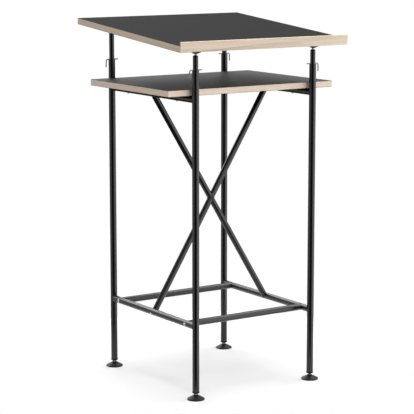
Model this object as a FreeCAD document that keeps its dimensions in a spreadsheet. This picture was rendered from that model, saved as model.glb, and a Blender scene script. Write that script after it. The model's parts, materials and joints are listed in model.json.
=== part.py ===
"""Clerk's standing desk: a tilted writing board and a shelf on a bolted steel tube frame.

Millimetres. The origin is on the floor, in the middle of the desk. +X is to the right of
a person who writes at it, +Y points away from them and +Z is up.
"""
import FreeCAD, Part
import os
import re

import Sketcher
from FreeCAD import Placement, Rotation, Vector

doc = FreeCAD.newDocument("standing_desk")

# Driving dimensions, one cell each
SIZES = {
    # Tube frame
    "leg_spread_x": "460",         # between leg axes, left to right
    "leg_diameter": "22.5",
    "leg_wall": "2.4",
    "leg_foot_z": "25",            # lower end of the leg tubes
    "leg_top_z": "1064",           # upper rim of the leg tubes
    "rail_diameter": "22",
    "rail_wall": "1.5",
    "upper_rail_z": "971.8",
    "lower_rail_z": "240.4",
    "cross_diameter": "22",
    "cross_wall": "1.5",
    "cross_inset": "50",           # cross tube axis to leg axis, along the lower rail
    "brace_diameter": "20.5",
    "brace_wall": "1.5",
    "brace_inset": "3.9",          # brace axis inside the rail axis, at the rail's height
    "joint_gap": "0.2",            # between a coped tube end and the tube that it meets
    "fit_gap": "0.05",             # all round a piece that is pressed or screwed in
    # Bolts that hold the frame together, and the nuts in the tube ends
    "bolt_diameter": "6",
    "bolt_hole_gap": "0.25",
    "bolt_head_diameter": "11",
    "bolt_head_height": "3",
    "bolt_head_flat": "6",         # diameter of the flat on top of the domed head
    "bolt_socket": "4",            # across the hexagon socket
    "bolt_socket_depth": "1.8",
    "cross_bolt_grip": "26",       # length past the rail, into the nut
    "brace_bolt_grip": "8.5",
    "brace_bolt_lean": "32",       # degrees from level: less than the brace, clear of the shelf
    "nut_length": "20",
    "nut_setback": "1.5",          # from the rail's surface to the nut
    # Swivel pads: the feet, and the same pads upside down below the writing board
    "pad_diameter": "57",
    "pad_rim": "4",
    "pad_rim_chamfer": "0.8",
    "pad_height": "15",
    "pad_neck_diameter": "15",
    "ball_diameter": "10",
    "ball_gap": "0.15",
    "ball_depth": "8.5",           # ball centre above the pad's flat face
    "mouth_diameter": "9.2",       # narrowest part of the socket's mouth
    "mouth_flare_diameter": "12.4",
    "stud_diameter": "8",
    "stud_neck_diameter": "6",
    "stud_neck_length": "7.6",     # ball centre to the threaded part
    "stud_chamfer": "1",
    "foot_stud_length": "40",
    "pad_stud_length": "36",
    "insert_flange_diameter": "24",
    "insert_flange_height": "3",
    "insert_taper_height": "3.7",
    "insert_tip_diameter": "13",
    "insert_depth": "30",          # inside the leg tube
    # Telescopic posts and their pins
    "post_diameter": "17.1",
    "post_wall": "1.8",
    "post_length": "320",
    "first_hole_drop": "43",       # post top to the first pin hole
    "hole_pitch": "46",
    "hole_count": "5",
    "rear_step": "1",              # holes by which the rear posts stand higher
    "stud_reach": "15",            # post top to ball centre
    "plug_cone_height": "3.5",
    "plug_tip_diameter": "10",
    "plug_depth": "25",
    "pin_diameter": "4",
    "pin_hole_gap": "0.2",
    "pin_rim_gap": "0.2",          # pin above the leg's rim
    "pin_tip": "24",               # post axis to the pin's straight end
    "pin_hook": "22",              # post axis to the hook's axis
    "pin_bend_radius": "6",
    "pin_hook_drop": "26",
    # Boards: a core between two thin laminate sheets, edged with oak
    "core_thickness": "19",
    "sheet_thickness": "0.8",
    "edge_thickness": "4",
    "desktop_width": "650",
    "desktop_depth": "642",        # along the slope, with the lip
    "desktop_overhang": "59.78",   # front ball axis to the lip's face, along the slope
    "lip_thickness": "5",
    "lip_height": "33",
    "lip_chamfer": "0.8",
    "slide_gap": "0.3",            # rear pads to the board that slides on them
    "shelf_width": "643",
    "shelf_depth": "486",
    "shelf_leg_gap": "3.75",       # shelf's front and rear edges to the legs
    "spacer_diameter": "16",
    "spacer_height": "0.7",
    "shelf_screw_y": "150",
    "screw_diameter": "4",
    "screw_hole_gap": "0.2",
    "screw_head_diameter": "7.6",
    "screw_head_height": "2.6",
    "screw_bite": "12",            # length inside a board
    "pad_screw_radius": "18",
    # Between leg axes, front to rear: the shelf fits between the legs
    "leg_spread_y": "=shelf_depth + leg_diameter + 2 * shelf_leg_gap",
}

sheet = doc.addObject("Spreadsheet::Sheet", "Sizes")
for row, (alias, number) in enumerate(SIZES.items(), start=1):
    sheet.set("A%d" % row, alias)
    sheet.set("B%d" % row, number)
    sheet.setAlias("B%d" % row, alias)
doc.recompute()


def in_sheet(text):
    """An expression in which every size's name points to its cell."""
    def cell(match):
        word = match.group()
        return "Sizes." + word if word in SIZES else word
    return re.sub(r"[a-z_]\w*", cell, text)


def value(text):
    """What an expression amounts to now, as a plain number."""
    result = sheet.evalExpression(in_sheet(text))
    return float(getattr(result, "Value", result))


def bind(obj, **expressions):
    for name, text in expressions.items():
        obj.setExpression(name, in_sheet(text))


def at(x, y, z, axis="0; 0; 1", angle="0"):
    return "placement(vector(%s; %s; %s); rotation(vector(%s); %s))" % (x, y, z, axis, angle)


X_AXIS = "1; 0; 0"
Y_AXIS = "0; 1; 0"
ORIGIN = at("0", "0", "0")

# Places that several pieces share
LEG_X = "leg_spread_x / 2"
LEG_Y = "leg_spread_y / 2"
LEG_R = "leg_diameter / 2"
RAIL_R = "rail_diameter / 2"
BRACE_R = "brace_diameter / 2"
CROSS_Y = "(leg_spread_y / 2 - cross_inset)"
BRACE_RISE = "(upper_rail_z - lower_rail_z)"
BRACE_RUN = "(leg_spread_x - 2 * brace_inset)"
BRACE_SLOPE = "atan(%s / %s)" % (BRACE_RISE, BRACE_RUN)
BRACE_SPAN = "(sqrt(%s ^ 2 + %s ^ 2) + 2 * brace_inset * cos(%s))" % (BRACE_RISE, BRACE_RUN, BRACE_SLOPE)
BRACE_MIDDLE_Z = "(upper_rail_z + lower_rail_z) / 2"
STUD_HOLE_R = "(stud_diameter / 2 + fit_gap)"
BOLT_HOLE_R = "(bolt_diameter / 2 + bolt_hole_gap)"
SCREW_HOLE_R = "(screw_diameter / 2 + screw_hole_gap)"
SCREW_BITE_R = "(screw_diameter / 2 + fit_gap)"
PIN_Z = "(leg_top_z + pin_rim_gap + pin_diameter / 2)"
STEP_UP = "(rear_step * hole_pitch)"
POST_TOP = {
    "front": "(%s + first_hole_drop)" % PIN_Z,
    "rear": "(%s + first_hole_drop + %s)" % (PIN_Z, STEP_UP),
}
BALL_Z = {
    "front": "(%s + stud_reach)" % POST_TOP["front"],
    "rear": "(%s + stud_reach - slide_gap)" % POST_TOP["rear"],
}
TILT = "atan(%s / leg_spread_y)" % STEP_UP
SHELF_BOTTOM = "(upper_rail_z + rail_diameter / 2 + spacer_height)"

SIDES = {"left": "-1", "right": "1"}
ENDS = {"front": "-1", "rear": "1"}
CORNERS = [(end, side) for end in ENDS for side in SIDES]

nodes = []


def keep(obj, label):
    """Make an object one of the desk's sub-parts, under its own label."""
    obj.Label = label
    nodes.append(obj)
    return obj


def corner_x(side):
    return "%s * %s" % (SIDES[side], LEG_X)


def corner_y(end):
    return "%s * %s" % (ENDS[end], LEG_Y)


def body(name, place=ORIGIN):
    piece = doc.addObject("PartDesign::Body", name)
    bind(piece, Placement=place)
    return piece


def form(piece, kind, place, **sizes):
    """Add or cut away one primitive form of a body."""
    feature = piece.newObject("PartDesign::" + kind, piece.Name + "_form")
    bind(feature, Placement=place, **sizes)
    return feature


def block(piece, x, y, z, length, width, height):
    form(piece, "AdditiveBox", at(x, y, z), Length=length, Width=width, Height=height)


def drill(piece, place, radius, depth):
    form(piece, "SubtractiveCylinder", place, Radius=radius, Height=depth)


def tube(name, place, radius, wall, length):
    piece = body(name)
    form(piece, "AdditiveCylinder", place, Radius=radius, Height=length)
    drill(piece, place, "%s - %s" % (radius, wall), length)
    return piece


def outline(piece, plane_role, points):
    """A closed sketch through points whose coordinates are expressions."""
    sketch = piece.newObject("Sketcher::SketchObject", piece.Name + "_profile")
    plane = [f for f in piece.Origin.OriginFeatures if f.Role == plane_role][0]
    sketch.AttachmentSupport = (plane, [""])
    sketch.MapMode = "FlatFace"
    corners = [Vector(value(across), value(up), 0) for across, up in points]
    for start, end in zip(corners, corners[1:] + corners[:1]):
        sketch.addGeometry(Part.LineSegment(start, end), False)
    count = len(points)
    for edge in range(count):
        sketch.addConstraint(Sketcher.Constraint("Coincident", edge, 2, (edge + 1) % count, 1))
    for edge, (across, up) in enumerate(points):
        for kind, text, axis in (("DistanceX", across, -2), ("DistanceY", up, -1)):
            if text == "0":
                sketch.addConstraint(Sketcher.Constraint("PointOnObject", edge, 1, axis))
                continue
            rule = Sketcher.Constraint(kind, -1, 1, edge, 1, value(text))
            name = "%s_%d" % (kind, edge)
            sketch.renameConstraint(sketch.addConstraint(rule), name)
            sketch.setExpression("Constraints." + name, in_sheet(text))
    return sketch


def turned(name, place, points):
    """A piece turned on a lathe: its half section is given as radius and height."""
    piece = body(name, place)
    feature = piece.newObject("PartDesign::Revolution", name + "_turned")
    feature.Profile = outline(piece, "XZ_Plane", points)
    feature.ReferenceAxis = (feature.Profile[0], ["V_Axis"])
    return piece


def group(label, members):
    """Like pieces that share one sub-part, each a solid of its own."""
    compound = doc.addObject("Part::Compound", label)
    compound.Links = members
    return keep(compound, label)


# Legs: four upright tubes
for end, side in CORNERS:
    name = "leg_%s_%s" % (end, side)
    foot = at(corner_x(side), corner_y(end), "leg_foot_z")
    keep(tube(name, foot, LEG_R, "leg_wall", "leg_top_z - leg_foot_z"), name)


# Side rails: coped to the legs, drilled for the bolts and the shelf's screws
def outward(level, side, lean):
    """Angle about Y that points out of the frame, up at an upper rail and down at a lower one."""
    sign = "-" if level == "upper" else "+"
    return "%s * (90 deg %s %s)" % (SIDES[side], sign, lean)


def brace_bolt_place(level, side):
    return at(corner_x(side), "0", level + "_rail_z", Y_AXIS,
              outward(level, side, "brace_bolt_lean * 1 deg"))


def cross_bolt_place(end, side):
    return at(corner_x(side), "%s * %s" % (ENDS[end], CROSS_Y), "lower_rail_z",
              Y_AXIS, SIDES[side] + " * 90")


def rail_bolt_hole(rail, bolt_place):
    drill(rail, bolt_place + " * " + at("0", "0", "-rail_diameter"), BOLT_HOLE_R, "2 * rail_diameter")


for level, height in (("upper", "upper_rail_z"), ("lower", "lower_rail_z")):
    for side in SIDES:
        name = "%s_rail_%s" % (level, side)
        x = corner_x(side)
        rail = tube(name, at(x, "-" + LEG_Y, height, X_AXIS, "-90"), RAIL_R, "rail_wall", "leg_spread_y")
        for end in ENDS:
            drill(rail, at(x, corner_y(end), height + " - leg_diameter"),
                  LEG_R + " + joint_gap", "2 * leg_diameter")
        rail_bolt_hole(rail, brace_bolt_place(level, side))
        for end in ENDS:
            if level == "upper":
                drill(rail, at(x, ENDS[end] + " * shelf_screw_y", height + " - rail_diameter"),
                      SCREW_HOLE_R, "2 * rail_diameter")
            else:
                rail_bolt_hole(rail, cross_bolt_place(end, side))
        keep(rail, name)


def cope_to_rail(piece, x, height):
    """Cut a tube's end to the shape of the side rail that it meets."""
    drill(piece, at(x, "-" + LEG_Y, height, X_AXIS, "-90"), RAIL_R + " + joint_gap", "leg_spread_y")


# Cross tubes between the lower rails, front and rear
for end in ENDS:
    name = "cross_tube_" + end
    start = at(corner_x("left"), "%s * %s" % (ENDS[end], CROSS_Y), "lower_rail_z", Y_AXIS, "90")
    cross = tube(name, start, "cross_diameter / 2", "cross_wall", "leg_spread_x")
    for side in SIDES:
        cope_to_rail(cross, corner_x(side), "lower_rail_z")
    keep(cross, name)


# Crossed braces in the middle of the depth: one whole tube, and one in two halves
def brace_end(level, side):
    """The end of a brace beside the rail, with Z out of the frame along the brace."""
    middle = at("0", "0", BRACE_MIDDLE_Z, Y_AXIS, outward(level, side, BRACE_SLOPE))
    return middle + " * " + at("0", "0", BRACE_SPAN + " / 2")


WHOLE_BRACE = brace_end("lower", "right") + " * " + at("0", "0", "-" + BRACE_SPAN)
brace = tube("brace_whole", WHOLE_BRACE, BRACE_R, "brace_wall", BRACE_SPAN)
cope_to_rail(brace, corner_x("left"), "upper_rail_z")
cope_to_rail(brace, corner_x("right"), "lower_rail_z")
keep(brace, "brace_whole")

for level, side in (("upper", "right"), ("lower", "left")):
    name = "brace_half_" + level
    middle = brace_end(level, side) + " * " + at("0", "0", "-%s / 2" % BRACE_SPAN)
    half = tube(name, middle, BRACE_R, "brace_wall", BRACE_SPAN + " / 2")
    cope_to_rail(half, corner_x(side), level + "_rail_z")
    drill(half, WHOLE_BRACE, BRACE_R + " + joint_gap", BRACE_SPAN)
    keep(half, name)


# Nuts in the tube ends, and domed bolts through the rails into them
def end_nut(name, tube_place, radius, bolt_place, grip):
    """A plug in the end of a tube, threaded along the bolt."""
    nut = body(name)
    form(nut, "AdditiveCylinder", "%s * %s" % (
        tube_place, at("0", "0", "-(%s + nut_setback + nut_length)" % RAIL_R)),
        Radius=radius + " - fit_gap", Height="nut_length")
    depth = "(%s + %s + bolt_hole_gap)" % (RAIL_R, grip)
    drill(nut, bolt_place + " * " + at("0", "0", "-" + depth), "bolt_diameter / 2 + fit_gap", depth)
    return nut


def frame_bolt(name, place, grip):
    shank = "(%s + rail_diameter + fit_gap)" % grip
    inward = at("0", "0", "-(%s + %s)" % (RAIL_R, grip))
    bolt = turned(name, place + " * " + inward, [
        ("0", "0"), ("bolt_diameter / 2", "0"), ("bolt_diameter / 2", shank),
        ("bolt_head_diameter / 2", shank), ("bolt_head_diameter / 2", shank + " + bolt_head_height / 3"),
        ("bolt_head_flat / 2", shank + " + bolt_head_height"), ("0", shank + " + bolt_head_height")])
    form(bolt, "SubtractivePrism", at("0", "0", shank + " + bolt_head_height - bolt_socket_depth"),
         Circumradius="bolt_socket / sqrt(3)", Height="bolt_socket_depth")
    return bolt


cross_nuts, cross_bolts = [], []
for end, side in CORNERS:
    name, place = "%s_%s" % (end, side), cross_bolt_place(end, side)
    cross_nuts.append(end_nut("cross_nut_" + name, place, "cross_diameter / 2 - cross_wall",
                              place, "cross_bolt_grip"))
    cross_bolts.append(frame_bolt("cross_bolt_" + name, place, "cross_bolt_grip"))
brace_nuts, brace_bolts = [], []
for level in ("upper", "lower"):
    for side in SIDES:
        name, place = "%s_%s" % (level, side), brace_bolt_place(level, side)
        brace_nuts.append(end_nut("brace_nut_" + name, brace_end(level, side), BRACE_R + " - brace_wall",
                                  place, "brace_bolt_grip"))
        brace_bolts.append(frame_bolt("brace_bolt_" + name, place, "brace_bolt_grip"))
group("cross_tube_nuts", cross_nuts)
group("brace_nuts", brace_nuts)
group("cross_tube_bolts", cross_bolts)
group("brace_bolts", brace_bolts)


# Feet: threaded inserts in the legs, studs with a ball end, and conical swivel pads
def foot_insert(name, x, y):
    plug = "leg_diameter / 2 - leg_wall - fit_gap"
    seat = "(insert_taper_height + insert_flange_height)"
    return turned(name, at(x, y, "leg_foot_z - " + seat), [
        (STUD_HOLE_R, "0"), ("insert_tip_diameter / 2", "0"),
        ("insert_flange_diameter / 2", "insert_taper_height"), ("insert_flange_diameter / 2", seat),
        (plug, seat), (plug, seat + " + insert_depth"), (STUD_HOLE_R, seat + " + insert_depth")])


def ball_stud(name, place, length):
    """A stud that stands up from the centre of its ball."""
    neck = "stud_neck_diameter / 2"
    thread = "stud_diameter / 2"
    stud = turned(name, place, [
        ("0", "0"), (neck, "0"), (neck, "stud_neck_length"), (thread, "stud_neck_length"),
        (thread, length + " - stud_chamfer"), (thread + " - stud_chamfer", length), ("0", length)])
    form(stud, "AdditiveSphere", ORIGIN, Radius="ball_diameter / 2")
    return stud


def swivel_pad(name, place):
    """A conical pad on its flat face, with a socket that holds a ball."""
    outer = "pad_diameter / 2"
    chamfered = outer + " - pad_rim_chamfer"
    pad = turned(name, place, [
        ("0", "0"), (chamfered, "0"), (outer, "pad_rim_chamfer"), (outer, "pad_rim - pad_rim_chamfer"),
        (chamfered, "pad_rim"), ("pad_neck_diameter / 2", "pad_height"), ("0", "pad_height")])
    form(pad, "SubtractiveSphere", at("0", "0", "ball_depth"), Radius="ball_diameter / 2 + ball_gap")
    form(pad, "SubtractiveCone", at("0", "0", "ball_depth"), Radius1="mouth_diameter / 2",
         Radius2="mouth_flare_diameter / 2", Height="pad_height - ball_depth")
    return pad


group("foot_inserts", [foot_insert("foot_insert_%s_%s" % (end, side), corner_x(side), corner_y(end))
                       for end, side in CORNERS])
for end, side in CORNERS:
    name = "foot_stud_%s_%s" % (end, side)
    ball = at(corner_x(side), corner_y(end), "ball_depth")
    keep(ball_stud(name, ball, "foot_stud_length"), name)
    name = "foot_pad_%s_%s" % (end, side)
    keep(swivel_pad(name, at(corner_x(side), corner_y(end), "0")), name)


# Telescopic posts, drilled across for the pins
for end, side in CORNERS:
    name = "post_%s_%s" % (end, side)
    x, y, top = corner_x(side), corner_y(end), POST_TOP[end]
    post = tube(name, at(x, y, top + " - post_length"), "post_diameter / 2", "post_wall", "post_length")
    for hole in range(int(value("hole_count"))):
        height = "%s - first_hole_drop - %d * hole_pitch" % (top, hole)
        drill(post, at(x + " - post_diameter", y, height, Y_AXIS, "90"),
              "pin_diameter / 2 + pin_hole_gap", "2 * post_diameter")
    keep(post, name)


def post_plug(name, x, y, top):
    """A threaded plug in the top of a post, with a conical shoulder."""
    outer = "post_diameter / 2 - post_wall - fit_gap"
    return turned(name, at(x, y, top + " - plug_depth"), [
        (STUD_HOLE_R, "0"), (outer, "0"), (outer, "plug_depth"), ("post_diameter / 2", "plug_depth"),
        ("plug_tip_diameter / 2", "plug_depth + plug_cone_height"),
        (STUD_HOLE_R, "plug_depth + plug_cone_height")])


for end in ENDS:
    plugs, studs = [], []
    for side in SIDES:
        x, y = corner_x(side), corner_y(end)
        upside_down = at(x, y, BALL_Z[end], X_AXIS, "180")
        plugs.append(post_plug("%s_plug_%s" % (end, side), x, y, POST_TOP[end]))
        studs.append(ball_stud("%s_pad_stud_%s" % (end, side), upside_down, "pad_stud_length"))
    group(end + "_post_plugs", plugs)
    group(end + "_pad_studs", studs)


# Bent wire pins: straight through the post, hooked down on the desk's outer side
def hook_pin(name, place):
    wire = "pin_diameter / 2"
    bend_x = "pin_bend_radius - pin_hook"
    pin = body(name, place)
    form(pin, "AdditiveCylinder", at(bend_x, "0", "0", Y_AXIS, "90"), Radius=wire,
         Height="pin_tip + pin_hook - pin_bend_radius")
    bend = pin.newObject("PartDesign::AdditiveTorus", name + "_bend")
    quarter_turn = 90
    upright = Rotation(Vector(1, 0, 0), quarter_turn)
    bend.Placement = Placement(Vector(), upright.multiply(Rotation(Vector(0, 0, 1), quarter_turn)))
    bend.Angle3 = quarter_turn
    bind(bend, Radius1="pin_bend_radius", Radius2=wire)
    bend.setExpression("Placement.Base.x", in_sheet(bend_x))
    bend.setExpression("Placement.Base.z", in_sheet("-pin_bend_radius"))
    form(pin, "AdditiveCylinder", at("-pin_hook", "0", "-pin_hook_drop"), Radius=wire,
         Height="pin_hook_drop - pin_bend_radius")
    return pin


for end, side in CORNERS:
    name = "pin_%s_%s" % (end, side)
    hook_side = "0" if side == "left" else "180"
    keep(hook_pin(name, at(corner_x(side), corner_y(end), PIN_Z, angle=hook_side)), name)


# Shelf on saddle spacers, screwed down through the upper rails
def shelf_places():
    return [(end + "_" + side, corner_x(side), ENDS[end] + " * shelf_screw_y") for end, side in CORNERS]


def saddle_spacer(name, x, y):
    foot = "upper_rail_z + rail_diameter / 4"
    spacer = body(name)
    form(spacer, "AdditiveCylinder", at(x, y, foot), Radius="spacer_diameter / 2",
         Height="spacer_height + rail_diameter / 4")
    drill(spacer, at(x, y, foot), SCREW_HOLE_R, "spacer_height + rail_diameter / 4")
    drill(spacer, at(x, y + " - spacer_diameter", "upper_rail_z", X_AXIS, "-90"),
          RAIL_R + " + fit_gap", "2 * spacer_diameter")
    return spacer


def wood_screw(name, place, grip):
    """A pan-head screw from its head's seat, through what it grips, into a board."""
    top = "screw_head_height"
    tip = "(screw_head_height + %s + screw_bite)" % grip
    radius = "screw_diameter / 2"
    return turned(name, place + " * " + at("0", "0", "-screw_head_height"), [
        ("0", "0"), (radius, "0"), ("screw_head_diameter / 2", "screw_head_height / 2"),
        ("screw_head_diameter / 2", top), (radius, top), (radius, tip + " - screw_diameter"), ("0", tip)])


group("shelf_spacers", [saddle_spacer("shelf_spacer_" + name, x, y) for name, x, y in shelf_places()])
group("shelf_screws", [
    wood_screw("shelf_screw_" + name, at(x, y, "upper_rail_z - rail_diameter / 2 - fit_gap"),
               "rail_diameter + spacer_height")
    for name, x, y in shelf_places()])


def screw_holes(board, places, bottom):
    for x, y in places:
        drill(board, at(x, y, bottom), SCREW_BITE_R, "screw_bite + screw_diameter")


def board_pieces(prefix, place, width, front, depth, bottom, screw_places, edges):
    """Core, two laminate sheets and oak edges of one board, in the frame of its placement."""
    left = "-%s / 2" % width
    inner_left = "(edge_thickness - %s / 2)" % width
    inner_width = "(%s - 2 * edge_thickness)" % width
    rear = "(%s + %s)" % (front, depth)
    core_front = front + " + edge_thickness" if "front" in edges else front
    core_rear = rear + " - edge_thickness"
    side_depth = "(%s) - (%s)" % (core_rear, core_front)
    core_bottom = bottom + " + sheet_thickness"

    bottom_sheet = body(prefix + "_bottom_sheet", place)
    block(bottom_sheet, left, front, bottom, width, depth, "sheet_thickness")
    screw_holes(bottom_sheet, screw_places, bottom)
    keep(bottom_sheet, prefix + "_bottom_sheet")

    core = body(prefix + "_core", place)
    block(core, inner_left, core_front, core_bottom, inner_width, side_depth, "core_thickness")
    screw_holes(core, screw_places, bottom)
    keep(core, prefix + "_core")

    top_sheet = body(prefix + "_top_sheet", place)
    block(top_sheet, left, front, core_bottom + " + core_thickness", width, depth, "sheet_thickness")
    keep(top_sheet, prefix + "_top_sheet")

    strips = {
        "front": (left, front, width, "edge_thickness"),
        "rear": (left, core_rear, width, "edge_thickness"),
        "left": (left, core_front, "edge_thickness", side_depth),
        "right": (inner_left + " + " + inner_width, core_front, "edge_thickness", side_depth),
    }
    for edge in edges:
        x, y, length, breadth = strips[edge]
        strip = body("%s_edge_%s" % (prefix, edge), place)
        block(strip, x, y, core_bottom, length, breadth, "core_thickness")
        keep(strip, "%s_edge_%s" % (prefix, edge))


board_pieces("shelf", ORIGIN, "shelf_width", "-shelf_depth / 2", "shelf_depth", SHELF_BOTTOM,
             [(x, y) for name, x, y in shelf_places()], ("front", "rear", "left", "right"))

# Writing board: its own frame lies on the front balls' axis and is tilted with it
DESKTOP = at("0", "-" + LEG_Y, BALL_Z["front"], X_AXIS, TILT)
pad_screw_places = [("%s_%s" % (side, where), "%s %s pad_screw_radius" % (corner_x(side), sign))
                    for side in SIDES for where, sign in (("outer", "-"), ("inner", "+"))]
board_pieces("desktop", DESKTOP, "desktop_width", "(lip_thickness - desktop_overhang)",
             "(desktop_depth - lip_thickness)", "ball_depth",
             [(x, "0") for name, x in pad_screw_places], ("rear", "left", "right"))

# Pencil lip: an oak strip along the low edge, proud of the writing surface
lip = body("pencil_lip", DESKTOP + " * " + at("0", "-desktop_overhang", "ball_depth"))
lip_pad = lip.newObject("PartDesign::Pad", "pencil_lip_length")
lip_pad.Profile = outline(lip, "YZ_Plane", [
    ("0", "0"), ("lip_thickness", "0"), ("lip_thickness", "lip_height - lip_chamfer"),
    ("lip_thickness - lip_chamfer", "lip_height"), ("lip_chamfer", "lip_height"),
    ("0", "lip_height - lip_chamfer")])
lip_pad.Midplane = True
bind(lip_pad, Length="desktop_width")
keep(lip, "pencil_lip")

# Swivel pads below the writing board: the front pair is screwed on, the rear pair carries it
for end in ENDS:
    for side in SIDES:
        name = "desk_pad_%s_%s" % (end, side)
        ball = at(corner_x(side), corner_y(end), BALL_Z[end], X_AXIS, TILT + " + 180 deg")
        pad = swivel_pad(name, ball + " * " + at("0", "0", "-ball_depth"))
        if end == "front":
            for sign in ("-", ""):
                x = sign + "pad_screw_radius"
                drill(pad, at(x, "0", "0"), SCREW_HOLE_R, "pad_height")
                drill(pad, at(x, "0", "pad_rim"), "screw_head_diameter / 2 + screw_hole_gap", "pad_height")
        keep(pad, name)

group("desk_pad_screws", [
    wood_screw("desk_pad_screw_" + name, DESKTOP + " * " + at(x, "0", "ball_depth - pad_rim"), "pad_rim")
    for name, x in pad_screw_places])

doc.recompute()

for obj in doc.Objects:
    if "Invalid" in obj.State or "Error" in obj.State:
        raise RuntimeError("%s did not recompute" % obj.Label)
for node in nodes:
    if node.Shape.isNull() or not node.Shape.isValid():
        raise RuntimeError("%s has no valid shape" % node.Label)

os.makedirs("parts", exist_ok=True)
for node in nodes:
    node.Shape.exportStep("parts/%s.step" % node.Label)
whole = Part.makeCompound([node.Shape for node in nodes]).BoundBox
print("%d sub-parts, box %s" % (len(nodes), whole))
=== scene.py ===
"""Looks of a clerk's standing desk: finishes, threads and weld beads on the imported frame.

Metres, in the part's own frame: +X is to the right of a person who writes at the desk,
+Y points away from them and +Z is up.
"""
import json
import math

import bmesh
import bpy
from mathutils import Matrix, Vector


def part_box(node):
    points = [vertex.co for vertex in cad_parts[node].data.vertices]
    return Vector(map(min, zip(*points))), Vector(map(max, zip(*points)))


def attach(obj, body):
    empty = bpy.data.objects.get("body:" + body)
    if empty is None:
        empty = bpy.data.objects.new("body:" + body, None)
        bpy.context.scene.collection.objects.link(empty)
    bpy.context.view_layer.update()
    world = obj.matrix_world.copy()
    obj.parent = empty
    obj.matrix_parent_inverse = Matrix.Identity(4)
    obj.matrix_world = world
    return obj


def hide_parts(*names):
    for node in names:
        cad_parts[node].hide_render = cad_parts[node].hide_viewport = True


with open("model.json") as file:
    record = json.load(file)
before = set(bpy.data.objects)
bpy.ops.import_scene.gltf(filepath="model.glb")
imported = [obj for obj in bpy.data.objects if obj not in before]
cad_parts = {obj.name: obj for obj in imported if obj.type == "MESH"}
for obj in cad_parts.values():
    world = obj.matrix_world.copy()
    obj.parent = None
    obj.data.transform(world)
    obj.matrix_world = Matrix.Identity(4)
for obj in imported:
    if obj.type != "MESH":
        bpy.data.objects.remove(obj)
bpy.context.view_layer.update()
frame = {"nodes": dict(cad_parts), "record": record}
nodes = frame["nodes"]
scene = bpy.context.scene

MM = 0.001
SAME_POINT = 0.001 * MM            # corners nearer to each other than this are joined
ENDS = {"front": -1, "rear": 1}    # with their sign along Y
SIDES = ("left", "right")
CORNERS = [end + "_" + side for end in ENDS for side in SIDES]


def middle(node):
    """Middle of a node's box."""
    low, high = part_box(node)
    return (Vector(low) + Vector(high)) / 2


def size(node):
    """Width, depth and height of a node's box."""
    low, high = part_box(node)
    return Vector(high) - Vector(low)


# Camera, at the photograph's viewing angle

CAMERA_AT = Vector((-3.1977, -4.7823, 1.5311))
CAMERA_AIM = Vector((-0.01508, 0.0, 0.5753))
CAMERA_LENS = 150.13               # lens and sensor in millimetres
SENSOR = 36.0
FARTHEST = 100.0


def photo_camera():
    data = bpy.data.cameras.new("photo_camera")
    data.sensor_width = SENSOR
    data.lens = CAMERA_LENS
    data.clip_end = FARTHEST
    camera = bpy.data.objects.new("photo_camera", data)
    camera.location = CAMERA_AT
    camera.rotation_mode = "QUATERNION"
    camera.rotation_quaternion = (CAMERA_AIM - CAMERA_AT).to_track_quat("-Z", "Y")
    scene.collection.objects.link(camera)
    scene.camera = camera


# Materials

def linear(hex_colour):
    """A linear colour from an sRGB hex value."""
    shares = [int(hex_colour[i:i + 2], 16) / 255 for i in (1, 3, 5)]
    return [s / 12.92 if s <= 0.04045 else ((s + 0.055) / 1.055) ** 2.4 for s in shares] + [1.0]


def add(tree, kind, inputs=None, **settings):
    """Add a shader node with its settings. An input takes a value or another node's output."""
    node = tree.nodes.new("ShaderNode" + kind)
    for name, setting in settings.items():
        setattr(node, name, setting)
    for name, source in (inputs or {}).items():
        if isinstance(source, bpy.types.NodeSocket):
            tree.links.new(source, node.inputs[name])
        else:
            node.inputs[name].default_value = source
    return node


def new_material(name):
    material = bpy.data.materials.new(name)
    material.use_nodes = True
    tree = material.node_tree
    return material, tree, tree.nodes["Principled BSDF"]


def per(millimetres):
    """Texture scale whose features are about this far apart."""
    return 1 / (millimetres * MM)


# Sockets of a colour mix, whose names a mix of numbers has as well
FACTOR, FIRST, SECOND, MIXED = 0, 6, 7, 2


def powder_coat():
    """Black polyester powder, sprayed and baked on steel tube. It flows out almost level,
    so the satin highlights run along the tubes and only a fine orange peel breaks them."""
    material, tree, shader = new_material("black_powder_coat")
    place = add(tree, "TexCoord").outputs["Object"]
    peel = add(tree, "TexNoise", {"Vector": place, "Scale": per(1.6), "Detail": 2.0})
    cloud = add(tree, "TexNoise", {"Vector": place, "Scale": per(45), "Detail": 3.0})
    tint = add(tree, "Mix", {FACTOR: cloud.outputs["Fac"], FIRST: linear("#040405"),
                             SECOND: linear("#070708")}, data_type="RGBA")
    satin = add(tree, "MapRange", {"Value": cloud.outputs["Fac"], "To Min": 0.21, "To Max": 0.25})
    bump = add(tree, "Bump", {"Height": peel.outputs["Fac"], "Strength": 0.04,
                              "Distance": 0.05 * MM})
    tree.links.new(tint.outputs[MIXED], shader.inputs["Base Color"])
    tree.links.new(satin.outputs["Result"], shader.inputs["Roughness"])
    tree.links.new(bump.outputs["Normal"], shader.inputs["Normal"])
    shader.inputs["Specular IOR Level"].default_value = 0.54
    return material


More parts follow.
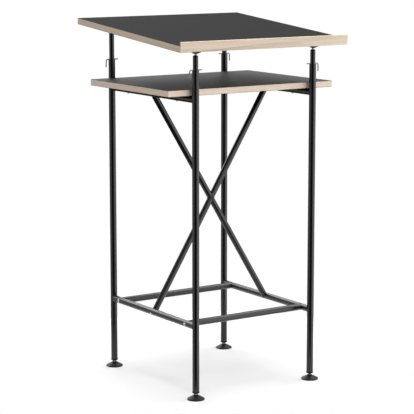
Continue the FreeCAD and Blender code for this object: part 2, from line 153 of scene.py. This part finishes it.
def laminate(name, gloss, smoothest, roughest, dark, light):
    """Black melamine laminate, pressed against a matt sheet. A fine tooth in the surface
    scatters the light, so it looks dark grey and mirrors only at a low angle."""
    material, tree, shader = new_material(name)
    place = add(tree, "TexCoord").outputs["Object"]
    tooth = add(tree, "TexNoise", {"Vector": place, "Scale": per(1.2), "Detail": 3.0})
    haze = add(tree, "TexNoise", {"Vector": place, "Scale": per(90), "Detail": 4.0})
    tint = add(tree, "Mix", {FACTOR: haze.outputs["Fac"], FIRST: linear(dark),
                             SECOND: linear(light)}, data_type="RGBA")
    matt = add(tree, "MapRange", {"Value": haze.outputs["Fac"], "To Min": smoothest,
                                  "To Max": roughest})
    bump = add(tree, "Bump", {"Height": tooth.outputs["Fac"], "Strength": 0.1,
                              "Distance": 0.05 * MM})
    tree.links.new(tint.outputs[MIXED], shader.inputs["Base Color"])
    tree.links.new(matt.outputs["Result"], shader.inputs["Roughness"])
    tree.links.new(bump.outputs["Normal"], shader.inputs["Normal"])
    shader.inputs["Specular IOR Level"].default_value = gloss
    return material


def oak(name, turn, early, late, streak, pore):
    """Pale oak edging, sawn along the grain, sanded and lacquered matt. Growth rings show
    as long bands a few millimetres apart, with short dark pores along them."""
    material, tree, shader = new_material(name)
    place = add(tree, "TexCoord").outputs["Object"]
    along = add(tree, "Mapping", {"Vector": place, "Rotation": turn}).outputs["Vector"]
    bands = add(tree, "Mapping", {"Vector": along, "Scale": (0.03, 1.0, 1.0)}).outputs["Vector"]
    dashes = add(tree, "Mapping", {"Vector": along, "Scale": (0.06, 1.0, 1.0)}).outputs["Vector"]
    rings = add(tree, "TexNoise", {"Vector": bands, "Scale": per(4.0), "Detail": 4.0,
                                   "Roughness": 0.6, "Distortion": 0.4})
    pores = add(tree, "TexNoise", {"Vector": dashes, "Scale": per(0.8), "Detail": 2.0})
    patch = add(tree, "TexNoise", {"Vector": bands, "Scale": per(25), "Detail": 2.0})
    ring_share = add(tree, "MapRange", {"Value": rings.outputs["Fac"], "From Min": 0.32,
                                        "From Max": 0.68})
    pore_share = add(tree, "MapRange", {"Value": pores.outputs["Fac"], "From Min": 0.56,
                                        "From Max": 0.74, "To Max": 0.45})
    patch_share = add(tree, "MapRange", {"Value": patch.outputs["Fac"], "From Min": 0.35,
                                         "From Max": 0.65, "To Max": 0.5})
    wood = add(tree, "Mix", {FACTOR: ring_share.outputs["Result"], FIRST: linear(early),
                             SECOND: linear(late)}, data_type="RGBA")
    warm = add(tree, "Mix", {FACTOR: patch_share.outputs["Result"], FIRST: wood.outputs[MIXED],
                             SECOND: linear(streak)}, data_type="RGBA")
    porous = add(tree, "Mix", {FACTOR: pore_share.outputs["Result"], FIRST: warm.outputs[MIXED],
                               SECOND: linear(pore)}, data_type="RGBA")
    matt = add(tree, "MapRange", {"Value": rings.outputs["Fac"], "To Min": 0.5, "To Max": 0.62})
    bump = add(tree, "Bump", {"Height": pore_share.outputs["Result"], "Strength": 0.2,
                              "Distance": 0.1 * MM}, invert=True)
    tree.links.new(porous.outputs[MIXED], shader.inputs["Base Color"])
    tree.links.new(matt.outputs["Result"], shader.inputs["Roughness"])
    tree.links.new(bump.outputs["Normal"], shader.inputs["Normal"])
    shader.inputs["Specular IOR Level"].default_value = 0.35
    return material


def steel(name, dark, light):
    """Plated or bare steel, turned or drawn: a cool grey metal, slightly cloudy where the
    bath or the die has dulled it, with fine tool marks that break up its highlights."""
    material, tree, shader = new_material(name)
    place = add(tree, "TexCoord").outputs["Object"]
    cloud = add(tree, "TexNoise", {"Vector": place, "Scale": per(3), "Detail": 4.0})
    marks = add(tree, "TexNoise", {"Vector": place, "Scale": per(0.35), "Detail": 2.0})
    tint = add(tree, "Mix", {FACTOR: cloud.outputs["Fac"], FIRST: linear(dark),
                             SECOND: linear(light)}, data_type="RGBA")
    polish = add(tree, "MapRange", {"Value": cloud.outputs["Fac"], "To Min": 0.22, "To Max": 0.4})
    bump = add(tree, "Bump", {"Height": marks.outputs["Fac"], "Strength": 0.08,
                              "Distance": 0.03 * MM})
    tree.links.new(tint.outputs[MIXED], shader.inputs["Base Color"])
    tree.links.new(polish.outputs["Result"], shader.inputs["Roughness"])
    tree.links.new(bump.outputs["Normal"], shader.inputs["Normal"])
    shader.inputs["Metallic"].default_value = 1.0
    return material


def nylon():
    """Black nylon, moulded against spark-eroded steel: an even fine grain, half matt."""
    material, tree, shader = new_material("black_nylon")
    place = add(tree, "TexCoord").outputs["Object"]
    grain = add(tree, "TexVoronoi", {"Vector": place, "Scale": per(0.7)})
    cloud = add(tree, "TexNoise", {"Vector": place, "Scale": per(14), "Detail": 3.0})
    tint = add(tree, "Mix", {FACTOR: cloud.outputs["Fac"], FIRST: linear("#060606"),
                             SECOND: linear("#0b0b0b")}, data_type="RGBA")
    matt = add(tree, "MapRange", {"Value": cloud.outputs["Fac"], "To Min": 0.38, "To Max": 0.5})
    bump = add(tree, "Bump", {"Height": grain.outputs["Distance"], "Strength": 0.15,
                              "Distance": 0.05 * MM})
    tree.links.new(tint.outputs[MIXED], shader.inputs["Base Color"])
    tree.links.new(matt.outputs["Result"], shader.inputs["Roughness"])
    tree.links.new(bump.outputs["Normal"], shader.inputs["Normal"])
    shader.inputs["Specular IOR Level"].default_value = 0.2
    return material


def chipboard():
    """Raw chipboard core, pressed from wood chips: mottled tan, dull all over."""
    material, tree, shader = new_material("chipboard")
    place = add(tree, "TexCoord").outputs["Object"]
    chips = add(tree, "TexVoronoi", {"Vector": place, "Scale": per(2.5)})
    tint = add(tree, "Mix", {FACTOR: chips.outputs["Distance"], FIRST: linear("#b58f63"),
                             SECOND: linear("#8f6b45")}, data_type="RGBA")
    tree.links.new(tint.outputs[MIXED], shader.inputs["Base Color"])
    shader.inputs["Roughness"].default_value = 0.85
    return material


finishes = {
    "black_powder_coat": powder_coat(),
    "black_laminate": laminate("satin_black_laminate", 0.30, 0.43, 0.49, "#202020", "#242423"),
    "zinc_plated_steel": steel("zinc_plated_steel", "#cbcccd", "#e6e6e4"),
    "black_nylon": nylon(),
    "board_core": chipboard(),
}
writing_surface = laminate("matt_black_laminate", 0.04, 0.62, 0.68, "#1a1a1a", "#1e1e1e")
pin_wire = steel("drawn_steel_wire", "#828282", "#9a9a99")

# Oak for each board: early wood, late wood, warm streaks, pores
DESKTOP_OAK = ("#e4d8c6", "#cfbca4", "#dcc2aa", "#a98b6e")
# Paler than the desktop's oak: painted light, which brightens the shelf's edges in the shade under
# the desktop
SHELF_OAK_PAINTED_LIGHT = ("#f1e5d8", "#dac7b3", "#e6cdb8", "#b39375")
one_hole_up = middle("post_rear_left") - middle("post_front_left")
TILT = math.atan2(one_hole_up.z, one_hole_up.y)    # of the writing board, front edge down
ALONG_Y = -math.pi / 2             # turns grain that runs along X
oak_edges = {
    "shelf_front": oak("lacquered_oak_shelf_front", (0, 0, 0), *SHELF_OAK_PAINTED_LIGHT),
    "shelf_side": oak("lacquered_oak_shelf_side", (0, 0, ALONG_Y), *SHELF_OAK_PAINTED_LIGHT),
    "desktop_front": oak("lacquered_oak_desktop_front", (-TILT, 0, 0), *DESKTOP_OAK),
    "desktop_side": oak("lacquered_oak_desktop_side", (-TILT, 0, ALONG_Y), *DESKTOP_OAK),
}

EASED_EDGE = 0.4 * MM              # arris taken off the boards with sandpaper
EASED_FACES = 2
ARRIS_ANGLE = math.radians(40)     # edges that turn by more than this are eased


def finish_of(node, slot):
    if slot == "oak":
        board = "shelf" if node.startswith("shelf") else "desktop"
        return oak_edges[board + ("_side" if node.endswith(SIDES) else "_front")]
    if node == "desktop_top_sheet":
        return writing_surface
    return pin_wire if node.startswith("pin_") else finishes[slot]


def ease_edges(piece):
    """Take the sharp arris off a board's edging."""
    piece.modifiers.new("joined_corners", "WELD").merge_threshold = SAME_POINT
    eased = piece.modifiers.new("eased_edges", "BEVEL")
    eased.width = EASED_EDGE
    eased.segments = EASED_FACES
    eased.limit_method = "ANGLE"
    eased.angle_limit = ARRIS_ANGLE
    eased.harden_normals = True


def finish_cad_nodes():
    for part in frame["record"]["subparts"]:
        piece = nodes[part["node"]]
        piece.data.materials.clear()
        piece.data.materials.append(finish_of(part["node"], part["material_slot"]))
        if part["material_slot"] == "oak":
            ease_edges(piece)


# Weld beads: where the rails meet the legs, and where the half braces meet the whole one

BEAD_RADIUS = 1.6 * MM
BEAD_RIPPLE = 3.0 * MM             # from one puddle of the torch to the next
BEAD_SWELL = 0.08                  # of a puddle, as a share of the radius
BEAD_STEPS = 144                   # along a bead
BEAD_ROUNDING = 3                  # of its section
BRACE_ANGLE = math.radians(58.3)   # from level


def saddle(crossing, branch, main, branch_radius, main_radius):
    """The closed line where a coped branch tube meets the tube that it is welded to.

    The axes meet at the crossing, and branch points from there along the branch."""
    across = main.cross(branch).normalized()
    beside = branch.cross(across)
    out = across.cross(main)
    points = []
    for step in range(BEAD_STEPS):
        turn = 2 * math.pi * step / BEAD_STEPS
        reach = math.sqrt(max(main_radius ** 2 - (branch_radius * math.sin(turn)) ** 2, 0))
        along = (reach - branch_radius * math.cos(turn) * beside.dot(out)) / branch.dot(out)
        points.append(crossing + branch * along
                      + (beside * math.cos(turn) + across * math.sin(turn)) * branch_radius)
    return points


def rail_saddles():
    up = Vector((0, 0, 1))
    lines = []
    for level in ("upper", "lower"):
        for end, sign in ENDS.items():
            inwards = Vector((0, -sign, 0))
            for side in SIDES:
                leg, rail = "leg_%s_%s" % (end, side), "%s_rail_%s" % (level, side)
                crossing = Vector((middle(leg).x, middle(leg).y, middle(rail).z))
                lines.append(saddle(crossing, inwards, up, size(rail).x / 2, size(leg).x / 2))
    return lines


def slope_of(brace, sign):
    """Direction along a brace: up to the left for the whole one, and from the crossing out
    to their ends for the halves. The sign is -1 for the lower half."""
    lean = -1 if brace == "brace_whole" else 1
    return Vector((lean * sign * math.cos(BRACE_ANGLE), 0, sign * math.sin(BRACE_ANGLE)))


def brace_saddles():
    crossing = middle("brace_whole")
    whole = slope_of("brace_whole", 1)
    radius = size("brace_whole").y / 2
    return [saddle(crossing, slope_of("brace_half_" + level, sign), whole, radius, radius)
            for level, sign in (("upper", 1), ("lower", -1))]


def weld_beads():
    beads = bpy.data.curves.new("weld_beads", "CURVE")
    beads.dimensions = "3D"
    beads.bevel_depth = BEAD_RADIUS
    beads.bevel_resolution = BEAD_ROUNDING
    for points in rail_saddles() + brace_saddles():
        spline = beads.splines.new("POLY")
        spline.points.add(len(points) - 1)
        spline.use_cyclic_u = True
        travelled = 0.0
        for index, point in enumerate(points):
            ripple = math.cos(2 * math.pi * travelled / BEAD_RIPPLE)
            spline.points[index].co = (*point, 1)
            spline.points[index].radius = 1 + BEAD_SWELL * ripple
            travelled += (points[(index + 1) % len(points)] - point).length
    piece = bpy.data.objects.new("weld_beads", beads)
    beads.materials.append(finishes["black_powder_coat"])
    scene.collection.objects.link(piece)
    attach(piece, "base_frame")


# Threaded studs: the same ball, neck and length as their solids, with a rolled thread

BALL_RADIUS = 5.0 * MM
BALL_STEPS = 12                    # from its pole to the neck
NECK_RADIUS = 3.0 * MM
NECK_TOP = 7.6 * MM                # ball centre to the thread
THREAD_RADIUS = 4.0 * MM
THREAD_ROOT = 3.25 * MM
THREAD_PITCH = 1.25 * MM
THREAD_FLAT = THREAD_PITCH / 8     # at its crest and root
STUD_CHAMFER = 1.0 * MM
ROUND = 32                         # faces around a turned piece
CRISP_ANGLE = math.radians(35)     # edges that turn by more than this are shaded sharp
HEAD_DOWN = Matrix.Rotation(math.pi, 4, "X")


def around(radius, step, height):
    turn = 2 * math.pi * step / ROUND
    return radius * math.cos(turn), radius * math.sin(turn), height


def strip(here, there, count):
    """Faces between two neighbouring sections of this many points, by their first points."""
    return [(here + row, there + row, there + row + 1, here + row + 1) for row in range(count - 1)]


def turned(profile):
    """A half section, given as radius and height, turned about Z."""
    count = len(profile)
    points = [around(radius, step, height) for step in range(ROUND) for radius, height in profile]
    faces = []
    for step in range(ROUND):
        faces += strip(step * count, (step + 1) % ROUND * count, count)
    return points, faces


def rolled_thread(bottom, top):
    """A helical ridge. The head of each turn joins the foot of the turn above it."""
    half = THREAD_PITCH / 2
    section = ((THREAD_ROOT, 0), (THREAD_ROOT, THREAD_FLAT),
               (THREAD_RADIUS, half), (THREAD_RADIUS, half + THREAD_FLAT))
    count = len(section)
    head = count - 1
    one_turn = count * ROUND
    steps = ROUND * (int((top - bottom) / THREAD_PITCH) - 1)
    points = [around(radius, step, bottom + height + THREAD_PITCH * step / ROUND)
              for step in range(steps + 1) for radius, height in section]
    faces = [tuple(range(count)), tuple(count * steps + row for row in reversed(range(count)))]
    for step in range(steps):
        here, there = count * step, count * (step + 1)
        faces += strip(here, there, count)
        if step + 1 + ROUND <= steps:
            faces.append((here + head, there + head, there + one_turn, here + one_turn))
    return points, faces


def stud_surface(length):
    """Points and faces of one stud. Its ball is centred at the origin, and it points up."""
    pole = -math.pi / 2
    neck = math.acos(NECK_RADIUS / BALL_RADIUS)
    ball = [pole + (neck - pole) * step / BALL_STEPS for step in range(BALL_STEPS + 1)]
    profile = [(BALL_RADIUS * math.cos(angle), BALL_RADIUS * math.sin(angle)) for angle in ball]
    profile += [(NECK_RADIUS, NECK_TOP), (THREAD_ROOT, NECK_TOP + THREAD_PITCH / 4),
                (THREAD_ROOT, length - STUD_CHAMFER / 2),
                (THREAD_RADIUS - STUD_CHAMFER, length), (0, length)]
    points, faces = turned(profile)
    thread_points, thread_faces = rolled_thread(NECK_TOP, length - STUD_CHAMFER)
    faces += [tuple(corner + len(points) for corner in face) for face in thread_faces]
    return points + thread_points, faces


def threaded_studs(name, body, node, places, length):
    points, faces = stud_surface(length)
    all_points = [place @ Vector(point) for place in places for point in points]
    all_faces = [tuple(corner + copy * len(points) for corner in face)
                 for copy in range(len(places)) for face in faces]
    data = bpy.data.meshes.new(name)
    data.from_pydata(all_points, [], all_faces)
    data.materials.append(finishes["zinc_plated_steel"])
    data.shade_smooth()
    piece = bpy.data.objects.new(name, data)
    scene.collection.objects.link(piece)
    piece.modifiers.new("join_poles", "WELD").merge_threshold = SAME_POINT
    piece.modifiers.new("crisp_edges", "EDGE_SPLIT").split_angle = CRISP_ANGLE
    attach(piece, body)
    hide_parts(node)


def all_studs():
    for corner in CORNERS:
        node = "foot_stud_" + corner
        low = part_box(node)[0]
        place = Matrix.Translation((middle(node).x, middle(node).y, low[2] + BALL_RADIUS))
        threaded_studs("threaded_" + node, node, node, [place], size(node).z - BALL_RADIUS)
    for end in ENDS:
        node = end + "_pad_studs"
        low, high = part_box(node)
        balls = [(x, middle(node).y, high[2] - BALL_RADIUS)
                 for x in (low[0] + BALL_RADIUS, high[0] - BALL_RADIUS)]
        places = [Matrix.Translation(ball) @ HEAD_DOWN for ball in balls]
        threaded_studs("threaded_" + node, end + "_posts", node, places,
                       size(node).z - BALL_RADIUS)


# Stage: a white paper floor that keeps the desk's shadow, and soft studio light

PAPER = "#d4d4d4"
PAPER_RADIUS = 0.72
PAPER_MIDDLE = (0.12, 0.18, 0.0)   # most of it lies behind the desk
PAPER_CORNERS = 128

# Each light: where it stands, the cosines of its edge and of its full brightness, its strength
STUDIO = {
    "right_softbox": ((0.72, -0.69, 0.0), 0.60, 0.85, 1.95),
    "left_softbox": ((-0.92, 0.40, 0.0), 0.60, 0.90, 0.87),
    "rear_softbox": ((0.04, 0.82, 0.57), 0.87, 0.955, 4.6),
    "overhead_softbox": ((-0.10, -0.04, 1.0), 0.94, 0.994, 7.5),
    "ceiling": ((0.54, 0.05, 0.84), 0.84, 0.97, 4.0),
    "front_fill": ((-0.10, -0.80, 0.60), 0.80, 0.95, 1.35),
}
BACKDROP = ((0.553, 0.833, 0.1), 0.70, 0.97, 0.5)    # as a gloss shows it
ROOM = 0.03                        # what comes from all around


def shown(tree):
    """Two switches: 1 for a ray that sees the stage straight, and 1 for a ray that sees it
    in a gloss or through something clear."""
    path = add(tree, "LightPath")
    gloss = add(tree, "Math", {0: path.outputs["Is Glossy Ray"],
                               1: path.outputs["Is Transmission Ray"]}, operation="MAXIMUM")
    return path.outputs["Is Camera Ray"], gloss.outputs[0]


def paper_floor():
    """White photographer's paper, which keeps the desk's shadow and hides nothing from below."""
    mesh = bpy.data.meshes.new("paper_floor")
    outline = bmesh.new()
    bmesh.ops.create_circle(outline, cap_ends=True, radius=PAPER_RADIUS, segments=PAPER_CORNERS)
    outline.to_mesh(mesh)
    outline.free()
    floor = bpy.data.objects.new("paper_floor", mesh)
    floor.location = PAPER_MIDDLE
    scene.collection.objects.link(floor)
    material = bpy.data.materials.new("white_paper")
    material.use_nodes = True
    tree = material.node_tree
    tree.nodes.clear()
    paper = add(tree, "BsdfDiffuse", {"Color": linear(PAPER)})
    below = add(tree, "NewGeometry").outputs["Backfacing"]
    clear = add(tree, "BsdfTransparent")
    sheet = add(tree, "MixShader", {0: below, 1: paper.outputs[0], 2: clear.outputs[0]})
    add(tree, "OutputMaterial", {"Surface": sheet.outputs[0]})
    mesh.materials.append(material)


def cone_of_light(tree, direction, towards, edge, full, strength):
    """How bright a soft round light is in the direction of a ray."""
    facing = add(tree, "VectorMath", {0: direction, 1: Vector(towards).normalized()},
                 operation="DOT_PRODUCT")
    share = add(tree, "MapRange", {"Value": facing.outputs["Value"], "From Min": edge,
                                   "From Max": full, "To Max": strength},
                interpolation_type="SMOOTHSTEP")
    return share.outputs["Result"]


def studio_light():
    world = bpy.data.worlds.new("studio")
    world.use_nodes = True
    scene.world = world
    tree = world.node_tree
    tree.nodes.clear()
    direction = add(tree, "TexCoord").outputs["Generated"]
    total = ROOM
    for light in STUDIO.values():
        share = cone_of_light(tree, direction, *light)
        total = add(tree, "Math", {0: share, 1: total}, operation="ADD").outputs[0]
    straight, gloss = shown(tree)
    backdrop = cone_of_light(tree, direction, *BACKDROP)
    behind = add(tree, "Math", {0: gloss, 1: backdrop}, operation="MULTIPLY")
    white_share = add(tree, "Math", {0: straight, 1: behind.outputs[0]}, operation="MAXIMUM")
    strength = add(tree, "Mix", {"Factor": white_share.outputs[0], "A": total, "B": 1.0})
    sky = add(tree, "Background", {"Color": (1, 1, 1, 1), "Strength": strength.outputs[0]})
    add(tree, "OutputWorld", {"Surface": sky.outputs[0]})


photo_camera()
finish_cad_nodes()
weld_beads()
all_studs()
paper_floor()
studio_light()
scene.view_settings.view_transform = "Standard"
